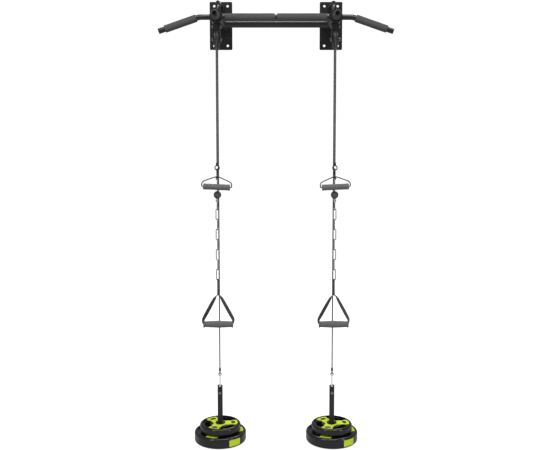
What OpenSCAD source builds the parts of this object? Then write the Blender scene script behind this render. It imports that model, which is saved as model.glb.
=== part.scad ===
// Wall-mounted pull-up bar with two cable pulleys, handles and plate-loaded pins.
// Origin: centre of the wall bolt pattern, on the wall face. +X along the bar, +Y into the wall, +Z up.

/* [Overall] */
// Distance between the centres of the two wall arms
arm_spacing = 536; // [460:2:660]
// Length of the pull-up bar from wing tip to wing tip
bar_span = 1052; // [960:2:1300]
// Distance from the wall to the pull-up bar's centre
bar_reach = 300; // [280:5:380]
// Height of the bolt pattern's centre above the floor
hang_height = 1995; // [1900:5:2400]

/* [Wall plate] */
// Width of the wall plate
plate_w = 110; // [100:1:140]
// Height of the wall plate
plate_h = 230; // [225:1:280]
// Thickness of the wall plate
plate_t = 6; // [4:0.5:8]
// Corner radius of the wall plate
plate_corner = 6; // [3:1:10]
// Hole spacing across the plate
hole_dx = 65; // [55:1:70]
// Hole spacing up the plate
hole_dz = 190; // [180:1:195]
// Diameter of the wall bolt holes
hole_d = 12; // [8:0.5:14]

/* [Arm and brace] */
// Outside diameter of the wall arm
arm_d = 60; // [52:1:64]
// Wall thickness of the arm
arm_wall = 3; // [2:0.5:4]
// Distance from the bar's centre to the arm's front face
arm_nose = 25; // [20:1:35]
// Diameter of the bent brace tube
brace_d = 25; // [20:1:26]
// Height of the brace above the arm's centre
brace_z = 88; // [84:1:92]
// Distance from the wall to the brace's downward leg
brace_reach = 190; // [170:5:200]
// Bend radius of the brace
brace_bend = 40; // [35:1:45]

/* [Tubes] */
// Outside diameter of the pull-up bar and the forward grip tubes
tube_d = 25; // [22:0.5:28]
// Wall thickness of those tubes
tube_wall = 2.5; // [1.5:0.5:3]
// Length of a forward grip tube in front of the arm
neutral_len = 95; // [85:5:130]
// Diameter of the crossbar
cross_d = 38; // [30:1:42]
// Distance from the wall to the crossbar's centre
cross_reach = 90; // [60:5:110]
// Distance from the bar's centre to the start of each wing
wing_start = 345; // [325:1:420]
// Droop of each wing
wing_angle = 19; // [10:1:30]
// Bend radius of the wing, at the bar's centreline
wing_bend = 60; // [50:5:90]

/* [Foam grips] */
// Outside diameter of the foam sleeves
foam_d = 34; // [31:0.5:38]
// Bare tube left at each wing tip
wing_bare = 28; // [20:1:40]
// Bare bar on each side of the arm
arm_clear = 38; // [34:1:50]
// Half of the gap between the two middle sleeves
mid_gap = 5; // [3:1:20]

/* [Pulley] */
// Outside diameter of the wheel
wheel_d = 90; // [86:1:96]
// Width of the wheel's rim
wheel_w = 20; // [16:1:22]
// Radius of the cable's centreline on the wheel
wrap_r = 41; // [39:0.5:42]
// Drop from the arm's centre to the wheel's axle
axle_drop = 96; // [96:1:110]
// Distance from the wall to the wheel's axle
axle_reach = 280; // [270:1:290]
// Diameter of the axle bolt
axle_d = 10; // [8:0.5:12]
// Diameter of the bushing that the wheel runs on
bush_d = 16; // [14:0.5:18]
// Running clearance of the wheel on its bushing, on the radius
run_gap = 0.05; // [0.02:0.01:0.08]
// Inside distance between the two cheeks
cheek_gap = 26; // [26:0.5:30]
// Thickness of a cheek
cheek_t = 3; // [2:0.5:4]
// Half width of a cheek
cheek_half = 20; // [18:1:24]
// Diameter of the two hanger bolts
hanger_d = 8; // [6:0.5:8]

/* [Cable and fittings] */
// Diameter of the coated cable
cable_d = 6; // [4:0.5:6]
// Length of the handle strand below the axle's height
front_len = 557; // [500:1:700]
// Diameter of a crimped ferrule
ferrule_d = 11; // [9:0.5:13]
// Length of a crimped ferrule
ferrule_l = 14; // [12:1:24]
// Wire diameter of a cable eye
eye_wire = 5; // [4:0.5:5.5]
// Wire diameter of the two snap hooks
hook_wire = 5.5; // [5:0.5:6]
// Space between pieces that hang in one another
slack = 0.3; // [0.3:0.05:0.6]
// Height of the upper snap hook, between its bows' centrelines
hook_h = 44; // [40:1:56]
// Height of the lower snap hook, between its bows' centrelines
low_hook_h = 42; // [40:1:56]

/* [Upper handle] */
// Wire diameter of the bail
bail_wire = 5; // [4:0.5:5.5]
// Distance from the bail's top to the grip's axis
bail_h = 46; // [44:1:60]
// Half width of the bail, at its legs
bail_half = 68; // [64:1:80]
// Forward lean of the bail, where the grip rests on the stem
bail_lean = 12; // [12:1:20]
// Sideways cant of the bail
bail_cant = 2.6; // [0:0.1:4]
// Diameter of the upper grip
upper_grip_d = 28; // [24:1:30]
// Length of the upper grip
upper_grip_l = 122; // [110:1:126]

/* [Stopper and chain] */
// Diameter of the stopper ball
ball_d = 35; // [30:1:40]
// Drop from the upper stem eye to the ball's centre
ball_drop = 76; // [74:1:90]
// Diameter of the stem through the ball
stem_d = 5; // [4:0.5:5]
// Number of chain links, an odd number
link_count = 7; // [5:2:11]
// Length of a chain link, between its bows' centrelines
link_l = 51; // [40:1:60]
// Wire diameter of the chain
link_wire = 4; // [3:0.5:4]
// Width of a chain link, between its wires' centrelines
link_w = 14; // [12:0.5:18]

/* [Lower handle] */
// Length of the bunched strap above the split
neck_l = 68; // [55:1:90]
// Height of the strap's triangle
strap_h = 124; // [110:1:150]
// Length of the lower grip
lower_grip_l = 138; // [120:1:150]
// Diameter of the lower grip at its middle
lower_grip_d = 33; // [30:1:36]
// Bore of the lower grip
lower_bore_d = 22; // [22:0.5:24]
// Thickness of the strap
strap_t = 3; // [2:0.5:3]
// Width of the strap where it runs through the grip
strap_w = 20; // [16:1:20]

/* [Loading pin] */
// Outside diameter of the loading pin
pin_d = 25; // [22:0.5:28]
// Length of the loading pin above its foot
pin_l = 269; // [250:1:320]
// Wall thickness of the loading pin
pin_wall = 3; // [2:0.5:3]
// Diameter of the foot
foot_d = 120; // [100:2:140]
// Thickness of the foot
foot_t = 5; // [4:0.5:8]
// Diameter of the cross bolt
cross_bolt_d = 8; // [6:0.5:8]
// Drop from the pin's top to the cross bolt
cross_bolt_drop = 34; // [30:1:45]
// Distance between the eye rod's two eyes
eye_rod_l = 89; // [80:1:110]

/* [Plates] */
// Diameter of the large plate
big_d = 247; // [220:1:260]
// Thickness of the large plate
big_t = 50; // [40:1:60]
// Diameter of the small plate
small_d = 194; // [170:1:200]
// Thickness of the small plate
small_t = 36; // [28:1:40]
// Clearance of the plates on the pin, on the radius
plate_gap = 0.75; // [0.5:0.05:1.5]
// Turn of the lime stars about the pin
star_turn = 8; // [0:1:60]

/* [Hidden] */
$fn = 64;
SIDES = [["left", -1], ["right", 1]];
SIDE_PARTS = [
    "bracket", "pulley_cheeks", "pulley_axle", "pulley_wheel",
    "cable_wrap", "cable_front", "cable_rear", "cable_end",
    "carabiner", "carabiner_gate", "bail", "bail_grip",
    "stopper_stem", "stopper_ball", "snap_hook", "snap_hook_gate", "chain",
    "strap", "strap_grip",
    "loading_pin", "cross_bolt", "eye_rod", "cable_shackle",
    "large_plate", "large_plate_inlay", "small_plate", "small_plate_inlay"
];
FRAME_PARTS = ["pull_up_bar", "crossbar", "bar_grips", "neutral_grips", "end_plugs", "hanger_bolts"];

arm_x = arm_spacing / 2;
arm_front = bar_reach + arm_nose;
weld_gap = 0.1;                                   // around tubes that pass through a wall
front_y = -(axle_reach + wrap_r);                 // handle strand
rear_y = -(axle_reach - wrap_r);                  // weight strand
axle_z = -axle_drop;
lug_t = cheek_gap - 2 * weld_gap;
lug_low = axle_z + wheel_d / 2 + 4;               // underside of the lug, clear of the wheel
hanger_z = lug_low + 9;
hanger_dy = 11;
hex_h = 5.5;

// Upper snap hook and what hangs in it
front_end_z = axle_z - front_len;
eye_r = 10;
eye_z = front_end_z - ferrule_l - eye_r + 1;
hook_bow = 12;
hook_top = eye_z - eye_r + (eye_wire + hook_wire) / 2 + slack;
hook_low = hook_top - hook_h;
hang_angle = 40;                                  // where bail and stem sit on the hook's lower bow
bail_in = hook_bow - (hook_wire + bail_wire) / 2 - slack;
bail_y = front_y - bail_in * sin(hang_angle);
bail_z = hook_low + hook_bow - bail_in * cos(hang_angle);
ring_r = 6;                                       // the stem's eyes
ring_wire = 4;
stem_in = hook_bow - (hook_wire + ring_wire) / 2 - slack;
stem_y = front_y + stem_in * sin(hang_angle);
ring_z = hook_low + hook_bow - stem_in * cos(hang_angle) - ring_r;
ball_z = ring_z - ball_drop;
low_ring_z = ball_z - ball_d / 2 - 8.5;

// Lower snap hook, chain and lower handle
low_bow = 9;
low_hook_top = low_ring_z - ring_r + (ring_wire + hook_wire) / 2 + slack;
low_hook_low = low_hook_top - low_hook_h;
chain_top = low_hook_low + (hook_wire + link_wire) / 2 + slack;
link_step = link_l - link_wire - slack;
chain_low = chain_top - (link_count - 1) * link_step - link_l;
loop_r = link_wire / 2 + slack + 1.3;             // inside of the strap's top loop, clear of the link's bow
split_z = chain_low - neck_l;
grip_z = split_z - strap_h - lower_grip_d / 2;
strap_x = lower_grip_l / 2 + 0.6;                 // inner face of the strap past the grip's end

// Loading pin
floor_z = -hang_height;
pin_base = floor_z + foot_t;
pin_top = pin_base + pin_l;
bolt_z = pin_top - cross_bolt_drop;
rod_eye_r = cross_bolt_d / 2 + ring_wire / 2 + slack;
top_eye_z = bolt_z + eye_rod_l;
shackle_r = 7;
shackle_z = top_eye_z + rod_eye_r - ring_wire / 2 - slack - eye_wire / 2 + shackle_r;
rear_end_z = shackle_z + shackle_r + ferrule_l;
plate_bore_r = pin_d / 2 + plate_gap;
star_t = 4;
recess = 7;
rim_edge = 10;                                    // radius of a plate's outer edges

// A round rod between two points
module rod(a, b, d) {
    v = b - a;
    l = norm(v);
    translate(a) rotate([0, acos(v[2] / l), atan2(v[1], v[0])]) cylinder(h = l, d = d);
}

// A full ring in the XZ plane, by the radius of its centreline
module ring_xz(r, wire) rotate([90, 0, 0]) rotate_extrude() translate([r, 0]) circle(d = wire);

// A full ring in the YZ plane
module ring_yz(r, wire) rotate([0, 90, 0]) rotate_extrude() translate([r, 0]) circle(d = wire);

// The top half of a ring in the YZ plane
module arch_yz(r, wire) {
    rotate([90, 0, 90]) rotate_extrude(angle = 180) translate([r, 0]) circle(d = wire);
}

// A hexagon bolt along X with its nut: the head on the +X side
module bolt_x(d, grip) {
    rotate([0, 90, 0]) {
        cylinder(h = grip + 2 * hex_h + 3, d = d, center = true);
        translate([0, 0, grip / 2]) cylinder(h = hex_h, d = d * 1.8, $fn = 6);
        translate([0, 0, -grip / 2 - hex_h]) cylinder(h = hex_h, d = d * 1.8, $fn = 6);
    }
}

// A wall plate with rounded corners and four holes
module wall_plate() {
    w = plate_w / 2 - plate_corner;
    h = plate_h / 2 - plate_corner;
    difference() {
        rotate([90, 0, 0]) linear_extrude(plate_t) union() {
            square([plate_w, 2 * h], center = true);
            square([2 * w, plate_h], center = true);
            for (x = [-w, w]) for (y = [-h, h]) translate([x, y]) circle(r = plate_corner);
        }
        for (x = [-1, 1]) for (z = [-1, 1])
            translate([x * hole_dx / 2, 1, z * hole_dz / 2]) rotate([90, 0, 0])
                cylinder(h = plate_t + 2, d = hole_d);
    }
}

// The bent brace: out from the wall plate, over, and down on to the arm
module brace() {
    run = brace_reach - brace_bend;
    translate([0, -plate_t, brace_z]) rotate([90, 0, 0]) cylinder(h = run - plate_t, d = brace_d);
    translate([0, -run, brace_z - brace_bend]) intersection() {
        ring_yz(brace_bend, brace_d);
        translate([-brace_d, -2 * brace_bend, 0]) cube([2 * brace_d, 2 * brace_bend, 2 * brace_bend]);
    }
    leg_low = arm_d / 2 - arm_wall - 1;
    translate([0, -brace_reach, leg_low]) cylinder(h = brace_z - brace_bend - leg_low, d = brace_d);
}

// Wall plate, arm, brace, pulley lug and forward grip tube, welded together
module bracket(s) color([0.05, 0.05, 0.055]) translate([s * arm_x, 0, 0]) difference() {
    union() {
        wall_plate();
        translate([0, -plate_t, 0]) rotate([90, 0, 0]) cylinder(h = arm_front - plate_t, d = arm_d);
        brace();
        translate([-lug_t / 2, -axle_reach - cheek_half, lug_low])
            cube([lug_t, 2 * cheek_half, -lug_low - arm_d / 2 + 4]);
        translate([0, -arm_front, 0]) rotate([90, 0, 0]) cylinder(h = neutral_len, d = tube_d);
    }
    // the arm is hollow behind its front cap
    translate([0, -plate_t, 0]) rotate([90, 0, 0])
        cylinder(h = arm_front - plate_t - arm_wall, d = arm_d - 2 * arm_wall);
    translate([0, -arm_front - 1, 0]) rotate([90, 0, 0])
        cylinder(h = neutral_len, d = tube_d - 2 * tube_wall);
    // the pull-up bar goes through the arm
    translate([0, -bar_reach, 0]) rotate([0, 90, 0])
        cylinder(h = 2 * arm_d, d = tube_d + 2 * weld_gap, center = true);
    for (dy = [-hanger_dy, hanger_dy]) translate([0, dy - axle_reach, hanger_z]) rotate([0, 90, 0])
        cylinder(h = 2 * arm_d, d = hanger_d + 2 * weld_gap, center = true);
}

// The bar's bend and straight wing, on the +X side
wing_turn = wing_bend * tan(wing_angle / 2);      // from the bend's corner to its ends
wing_run = (bar_span / 2 - wing_start) / cos(wing_angle) - wing_turn;
weld_lap = 0.5;                                   // straight tubes run this far into the bend
bend_swell = 0.4;                                 // a bent tube is a little out of round
module wing() {
    translate([wing_start - wing_turn, 0, -wing_bend]) rotate([90, 0, 0]) rotate([0, 0, 90 - wing_angle])
        rotate_extrude(angle = wing_angle) translate([wing_bend, 0]) circle(d = tube_d + bend_swell);
    wing_frame(-weld_lap) difference() {
        cylinder(h = wing_run + weld_lap, d = tube_d);
        translate([0, 0, wing_run - 60]) cylinder(h = 62, d = tube_d - 2 * tube_wall);
    }
}

// Places a piece along the straight wing, a distance past the bend
module wing_frame(along) {
    start = [wing_start + (wing_turn + along) * cos(wing_angle), 0, -(wing_turn + along) * sin(wing_angle)];
    translate(start) rotate([0, 90 + wing_angle, 0]) children();
}

module pull_up_bar() color([0.06, 0.06, 0.065]) translate([0, -bar_reach, 0]) {
    rotate([0, 90, 0]) cylinder(h = 2 * (wing_start - wing_turn + weld_lap), d = tube_d, center = true);
    for (m = [0, 1]) mirror([m, 0, 0]) wing();
}

// The crossbar's ends are cut to the arms
module crossbar() color([0.05, 0.05, 0.055]) difference() {
    translate([0, -cross_reach, 0]) rotate([0, 90, 0]) difference() {
        cylinder(h = arm_spacing - arm_d * 0.7, d = cross_d, center = true);
        cylinder(h = arm_spacing, d = cross_d - 2 * tube_wall, center = true);
    }
    for (s = [-1, 1]) translate([s * arm_x, 0, 0]) rotate([90, 0, 0])
        cylinder(h = 2 * cross_reach, d = arm_d + 2 * weld_gap);
}

module sleeve(l, inside) difference() {
    cylinder(h = l, d = foam_d);
    translate([0, 0, -1]) cylinder(h = l + 2, d = inside);
}

// Two sleeves in the middle of the bar and one on each wing
module bar_grips() color([0.1, 0.1, 0.11]) translate([0, -bar_reach, 0])
    for (m = [0, 1]) mirror([m, 0, 0]) {
        translate([mid_gap, 0, 0]) rotate([0, 90, 0])
            sleeve(arm_x - arm_clear - mid_gap, tube_d + 2 * weld_gap);
        wing_frame(4) sleeve(wing_run - wing_bare - 4, tube_d + 2 * weld_gap);
    }

module neutral_grips() color([0.1, 0.1, 0.11]) for (s = [-1, 1])
    translate([s * arm_x, -arm_front - 2, 0]) rotate([90, 0, 0])
        sleeve(neutral_len - 6, tube_d + 2 * weld_gap);

// A plug with a flat round head that closes a tube's end
module plug() {
    cylinder(h = 2.5, d = tube_d);
    translate([0, 0, -14]) cylinder(h = 14, d = tube_d - 2 * tube_wall - 2 * weld_gap);
}

module end_plugs() color([0.02, 0.02, 0.02]) {
    for (m = [0, 1]) mirror([m, 0, 0]) translate([0, -bar_reach, 0]) wing_frame(wing_run) plug();
    for (s = [-1, 1]) translate([s * arm_x, -arm_front - neutral_len, 0]) rotate([90, 0, 0]) plug();
}

module hanger_bolts() color([0.7, 0.7, 0.72]) for (s = [-1, 1]) for (dy = [-hanger_dy, hanger_dy])
    translate([s * arm_x, dy - axle_reach, hanger_z]) bolt_x(hanger_d, cheek_gap + 2 * cheek_t);

// Two flat cheeks that carry the wheel below the lug
module pulley_cheeks() color([0.07, 0.07, 0.075]) for (s = [-1, 1])
    translate([s * (cheek_gap + cheek_t) / 2, -axle_reach, 0]) rotate([0, 90, 0]) difference() {
        linear_extrude(cheek_t, center = true) union() {
            translate([axle_drop, 0]) circle(r = cheek_half);
            translate([arm_d / 2, -cheek_half]) square([axle_drop - arm_d / 2, 2 * cheek_half]);
        }
        translate([axle_drop, 0, 0]) cylinder(h = 2 * cheek_t, d = axle_d + 2 * weld_gap, center = true);
        for (dy = [-hanger_dy, hanger_dy]) translate([-hanger_z, dy, 0])
            cylinder(h = 2 * cheek_t, d = hanger_d + 2 * weld_gap, center = true);
    }

// The axle bolt with its nut, and the bushing between the cheeks
module pulley_axle() color([0.7, 0.7, 0.72]) translate([0, -axle_reach, axle_z]) {
    bolt_x(axle_d, cheek_gap + 2 * cheek_t);
    rotate([0, 90, 0]) difference() {
        cylinder(h = cheek_gap - 2 * weld_gap, d = bush_d, center = true);
        cylinder(h = cheek_gap, d = axle_d + 2 * weld_gap, center = true);
    }
}

// A grooved wheel with six lightening holes
module pulley_wheel() color([0.09, 0.09, 0.1]) translate([0, -axle_reach, axle_z]) rotate([0, 90, 0])
    difference() {
        rotate_extrude() difference() {
            union() {
                translate([bush_d / 2 + run_gap, -cheek_gap / 2 + 0.4])
                    square([6, cheek_gap - 0.8]);
                translate([bush_d / 2 + run_gap, -wheel_w / 2])
                    square([wheel_d / 2 - bush_d / 2 - run_gap, wheel_w]);
            }
            translate([wrap_r, 0]) circle(d = cable_d + 2 * slack + 0.2);
            translate([wrap_r, -cable_d / 2 - slack - 0.1])
                square([wheel_d / 2, cable_d + 2 * slack + 0.2]);
        }
        for (i = [0:5]) rotate([0, 0, i * 60]) translate([24, 0, 0])
            cylinder(h = 2 * wheel_w, d = 11, center = true);
    }

module cable_wrap() color([0.35, 0.35, 0.36])
    translate([0, -axle_reach, axle_z]) arch_yz(wrap_r, cable_d);

module strand(y, low) color([0.35, 0.35, 0.36])
    translate([0, y, low]) cylinder(h = axle_z - low, d = cable_d);

// Crimped ferrule and eye at the handle end
module cable_end() color([0.05, 0.05, 0.05]) {
    translate([0, front_y, front_end_z - ferrule_l]) cylinder(h = ferrule_l, d = ferrule_d);
    translate([0, front_y, eye_z]) ring_xz(eye_r, eye_wire);
}

// An oval snap hook in the YZ plane, open on its +Y side where the gate sits
module hook_body(y, top, h, bow) {
    straight = h - 2 * bow;
    translate([0, y, top - bow]) arch_yz(bow, hook_wire);
    translate([0, y, top - h + bow]) mirror([0, 0, 1]) arch_yz(bow, hook_wire);
    translate([0, y - bow, top - h + bow]) cylinder(h = straight, d = hook_wire);
}

// The gate: a round bar with a ball at its hinge
module hook_gate(y, top, h, bow) {
    d = hook_wire - 0.5;
    low = top - h + bow + d / 2 + slack;
    translate([0, y + bow, low]) sphere(d = d);
    translate([0, y + bow, low]) cylinder(h = top - bow - slack - low, d = d);
}

// The bail's places, before its lean: [across, down from the top]
bail_pts = [[9, 0], [58, -20], [bail_half - 2, -26], [bail_half, -32], [bail_half, -bail_h]];
module bail_frame(s) translate([0, bail_y, bail_z]) rotate([0, s * -bail_cant, 0])
    rotate([-bail_lean, 0, 0]) children();

module bail(s) color([0.12, 0.12, 0.13]) bail_frame(s) {
    rod([-bail_pts[0][0], 0, 0], [bail_pts[0][0], 0, 0], bail_wire);
    for (m = [-1, 1]) {
        for (i = [0:3]) {
            a = bail_pts[i];
            b = bail_pts[i + 1];
            over = 0.4 * bail_wire * (b - a) / norm(b - a);
            low = a - over;
            high = b + over;
            rod([m * low[0], 0, low[1]], [m * high[0], 0, high[1]], bail_wire + 0.2 * ((i + 1) % 2));
        }
        rod([m * bail_half, 0, -bail_h], [m * (upper_grip_l / 2 - 12), 0, -bail_h], bail_wire);
    }
}

module bail_grip(s) color([0.2, 0.2, 0.21]) bail_frame(s) translate([0, 0, -bail_h]) rotate([0, 90, 0])
    difference() {
        cylinder(h = upper_grip_l, d = upper_grip_d, center = true);
        cylinder(h = upper_grip_l + 2, d = bail_wire + 2 * run_gap, center = true);
    }

// A stem with an eye at each end, which carries the ball
module stopper_stem() color([0.6, 0.6, 0.62]) {
    translate([0, stem_y, ring_z]) ring_xz(ring_r, ring_wire);
    translate([0, stem_y, low_ring_z]) ring_xz(ring_r, ring_wire);
    translate([0, stem_y, low_ring_z + ring_r])
        cylinder(h = ring_z - low_ring_z - 2 * ring_r, d = stem_d);
}

module stopper_ball() color([0.12, 0.12, 0.13]) translate([0, stem_y, ball_z]) difference() {
    union() {
        sphere(d = ball_d);
        translate([0, 0, -ball_d / 2 - weld_gap]) cylinder(h = ball_d / 2 - 5, d1 = 15, d2 = ball_d - 4);
    }
    cylinder(h = 2 * ball_d, d = stem_d + 2 * weld_gap, center = true);
}

// One oval chain link in the XZ plane, its top bow's centreline at the origin
module chain_link() {
    r = link_w / 2;
    for (m = [-1, 1]) translate([m * r, 0, r - link_l]) cylinder(h = link_l - 2 * r, d = link_wire);
    translate([0, 0, -r]) rotate([0, 0, 90]) arch_yz(r, link_wire);
    translate([0, 0, r - link_l]) rotate([0, 0, 90]) mirror([0, 0, 1]) arch_yz(r, link_wire);
}

module chain() color([0.8, 0.8, 0.82]) for (i = [0:link_count - 1])
    translate([0, stem_y, chain_top - i * link_step]) rotate([0, 0, 90 * (i % 2)]) chain_link();

// The strap: a loop round the last link, a bunched neck, two legs and the run through the grip
module strap() color([0.1, 0.1, 0.1]) translate([0, stem_y, 0]) {
    link_z = chain_low;
    neck_top = link_z - loop_r;
    translate([0, 0, link_z]) rotate([0, 90, 0]) difference() {
        cylinder(h = 7, r = loop_r + strap_t, center = true);
        cylinder(h = 8, r = loop_r, center = true);
    }
    translate([-5, -3, split_z]) cube([10, 6, neck_top - split_z - 0.5]);
    outer = strap_x + strap_t;
    for (m = [0, 1]) mirror([m, 0, 0]) {
        rotate([90, 0, 0]) linear_extrude(strap_w - 4, center = true) polygon([
            [0, split_z + 1], [5, split_z + 1], [outer, grip_z + lower_grip_d / 2 + 4],
            [outer, grip_z - strap_t / 2], [strap_x, grip_z - strap_t / 2],
            [strap_x, grip_z + lower_grip_d / 2 + 3], [0, split_z - 8]
        ]);
        translate([0, -strap_w / 2, grip_z - strap_t / 2]) cube([outer, strap_w, strap_t]);
    }
}

// A barrel grip with a raised ring at each end
module strap_grip() color([0.15, 0.15, 0.16]) translate([0, stem_y, grip_z]) rotate([0, 90, 0]) {
    end_d = lower_grip_d - 6;
    ring_l = 6;
    difference() {
        union() {
            for (m = [0, 1]) mirror([0, 0, m]) {
                cylinder(h = lower_grip_l / 2 - ring_l, d1 = lower_grip_d, d2 = end_d);
                translate([0, 0, lower_grip_l / 2 - ring_l]) cylinder(h = ring_l, d = lower_grip_d - 1);
            }
        }
        cylinder(h = lower_grip_l + 2, d = lower_bore_d, center = true);
    }
}

// A hollow post on a round foot, forked at the top, with a cross hole
module loading_pin() color([0.06, 0.06, 0.065]) translate([0, rear_y, 0]) difference() {
    union() {
        translate([0, 0, floor_z]) cylinder(h = foot_t, d = foot_d);
        translate([0, 0, pin_base]) cylinder(h = pin_l, d = pin_d);
    }
    translate([0, 0, pin_base + 4]) cylinder(h = pin_l, d = pin_d - 2 * pin_wall);
    translate([-4, -pin_d, pin_top - 14]) cube([8, 2 * pin_d, 15]);
    translate([0, 0, bolt_z]) rotate([90, 0, 0])
        cylinder(h = 2 * pin_d, d = cross_bolt_d + 2 * weld_gap, center = true);
}

// The cross bolt's head is at the front
module cross_bolt() color([0.75, 0.75, 0.77])
    translate([0, rear_y, bolt_z]) rotate([0, 0, -90]) bolt_x(cross_bolt_d, pin_d);

// A thin rod with an eye on the cross bolt and an eye for the cable
module eye_rod() color([0.7, 0.7, 0.72]) translate([0, rear_y, 0]) {
    translate([0, 0, bolt_z]) ring_xz(rod_eye_r, ring_wire);
    translate([0, 0, top_eye_z]) ring_xz(rod_eye_r, ring_wire);
    translate([0, 0, bolt_z + rod_eye_r]) cylinder(h = eye_rod_l - 2 * rod_eye_r, d = ring_wire);
}

// Crimped ferrule and eye at the weight end
module cable_shackle() color([0.3, 0.3, 0.31]) translate([0, rear_y, 0]) {
    translate([0, 0, shackle_z]) ring_yz(shackle_r, eye_wire);
    translate([0, 0, rear_end_z - ferrule_l - 1]) cylinder(h = ferrule_l + 1, d = ferrule_d - 1);
}

// Radii of a plate's parts, all from its diameter
function rim_in(d) = d / 2 - 13;
function slot_mid(d) = rim_in(d) / 2 + 19;
slot_half = 14;
slot_sweep = 26;
slot_step = 4 + 1 / 3;                             // degrees between points along the slot
slot_cap = 15;                                    // and round its ends
hub_r = 24;

// A round-ended slot along an arc: outer arc, end cap, inner arc, end cap
module kidney(mid) {
    cap = mid * [cos(slot_sweep), sin(slot_sweep)];
    polygon(concat(
        [for (a = [-slot_sweep:slot_step:slot_sweep]) (mid + slot_half) * [cos(a), sin(a)]],
        [for (a = [slot_cap:slot_cap:180 - slot_cap]) cap + slot_half * [cos(slot_sweep + a), sin(slot_sweep + a)]],
        [for (a = [slot_sweep:-slot_step:-slot_sweep]) (mid - slot_half) * [cos(a), sin(a)]],
        [for (a = [180 - slot_cap:-slot_cap:slot_cap])
            [cap.x, -cap.y] + slot_half * [cos(slot_sweep + a), -sin(slot_sweep + a)]]
    ));
}

// A plate with a rounded rim, a sunk web, a raised hub and three finger slots
module weight_plate(d, t) {
    difference() {
        rotate_extrude() difference() {
            union() {
                translate([plate_bore_r, 0]) square([d / 2 - rim_edge - plate_bore_r, t]);
                translate([d / 2 - rim_edge - 1, rim_edge]) square([rim_edge + 1, t - 2 * rim_edge]);
                for (z = [rim_edge, t - rim_edge]) translate([d / 2 - rim_edge, z]) circle(r = rim_edge);
            }
            translate([hub_r, t - recess]) square([rim_in(d) - hub_r, recess + 1]);
        }
        for (i = [0:2]) rotate([0, 0, star_turn + 60 + i * 120]) translate([0, 0, -1])
            linear_extrude(t + 2) kidney(slot_mid(d));
    }
}

// The three-armed star that lies on a plate's web
module star(d) linear_extrude(star_t) difference() {
    intersection() {
        union() {
            circle(r = hub_r + 8);
            for (i = [0:2]) rotate(star_turn + i * 120)
                polygon([[0, -20], [rim_in(d), -27], [rim_in(d), 27], [0, 20]]);
        }
        circle(r = rim_in(d) - 0.5);
    }
    circle(r = hub_r + weld_gap);
    for (i = [0:2]) rotate(star_turn + 60 + i * 120) kidney(slot_mid(d));
}

module large_plate() color([0.04, 0.04, 0.045]) translate([0, rear_y, pin_base]) weight_plate(big_d, big_t);

// The star, and the patch on the rim's outer wall
module large_plate_inlay() color([0.78, 0.86, 0.05]) translate([0, rear_y, pin_base]) {
    translate([0, 0, big_t - recess]) star(big_d);
    patch_sweep = 28;
    rotate([0, 0, star_turn - 60 - patch_sweep / 2]) rotate_extrude(angle = patch_sweep)
        translate([big_d / 2, rim_edge]) square([0.8, big_t - 2 * rim_edge]);
}

module small_plate() color([0.04, 0.04, 0.045])
    translate([0, rear_y, pin_base + big_t]) weight_plate(small_d, small_t);

module small_plate_inlay() color([0.78, 0.86, 0.05])
    translate([0, rear_y, pin_base + big_t + small_t - recess]) star(small_d);

pull_up_bar();
crossbar();
bar_grips();
neutral_grips();
end_plugs();
hanger_bolts();

for (side = SIDES) {
    n = side[0];
    s = side[1];
    bracket(s);
    translate([s * arm_x, 0, 0]) {
        pulley_cheeks();
        pulley_axle();
        pulley_wheel();
        cable_wrap();
        strand(front_y, front_end_z);
        strand(rear_y, rear_end_z);
        cable_end();
        color([0.05, 0.05, 0.05]) hook_body(front_y, hook_top, hook_h, hook_bow);
        color([0.6, 0.6, 0.62]) hook_gate(front_y, hook_top, hook_h, hook_bow);
        bail(s);
        bail_grip(s);
        stopper_stem();
        stopper_ball();
        color([0.8, 0.8, 0.82]) hook_body(stem_y, low_hook_top, low_hook_h, low_bow);
        color([0.8, 0.8, 0.82]) hook_gate(stem_y, low_hook_top, low_hook_h, low_bow);
        chain();
        strap();
        strap_grip();
        loading_pin();
        cross_bolt();
        eye_rod();
        cable_shackle();
        large_plate();
        large_plate_inlay();
        small_plate();
        small_plate_inlay();
    }
}
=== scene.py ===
"""Looks of a wall-mounted pull-up bar with two cable pulleys, handles and plate-loaded pins."""

import logging
import math
from collections.abc import Callable, Sequence
from dataclasses import dataclass
from enum import Enum

import bmesh
import bpy
from mathutils import Matrix, Vector


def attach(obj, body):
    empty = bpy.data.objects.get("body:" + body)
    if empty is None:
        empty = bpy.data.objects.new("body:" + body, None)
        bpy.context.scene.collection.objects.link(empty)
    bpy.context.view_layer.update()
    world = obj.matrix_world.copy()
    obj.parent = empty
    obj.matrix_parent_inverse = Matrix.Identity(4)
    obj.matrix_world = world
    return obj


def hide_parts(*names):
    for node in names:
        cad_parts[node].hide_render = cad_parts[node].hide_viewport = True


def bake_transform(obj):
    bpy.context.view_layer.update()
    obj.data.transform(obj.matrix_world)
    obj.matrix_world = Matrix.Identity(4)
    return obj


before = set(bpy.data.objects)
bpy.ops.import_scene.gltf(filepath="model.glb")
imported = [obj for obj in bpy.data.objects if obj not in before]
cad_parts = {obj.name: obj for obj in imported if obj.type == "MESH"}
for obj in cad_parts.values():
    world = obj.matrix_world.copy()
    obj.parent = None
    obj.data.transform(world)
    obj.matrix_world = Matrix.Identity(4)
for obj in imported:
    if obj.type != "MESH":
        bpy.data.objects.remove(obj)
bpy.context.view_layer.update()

MM = 0.001
TURN = 2 * math.pi
FORWARD = Vector((0, -1, 0))
SIDES = ((-1, "left"), (1, "right"))
LOG = logging.getLogger("looks")
Point = tuple[float, float, float]

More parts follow.
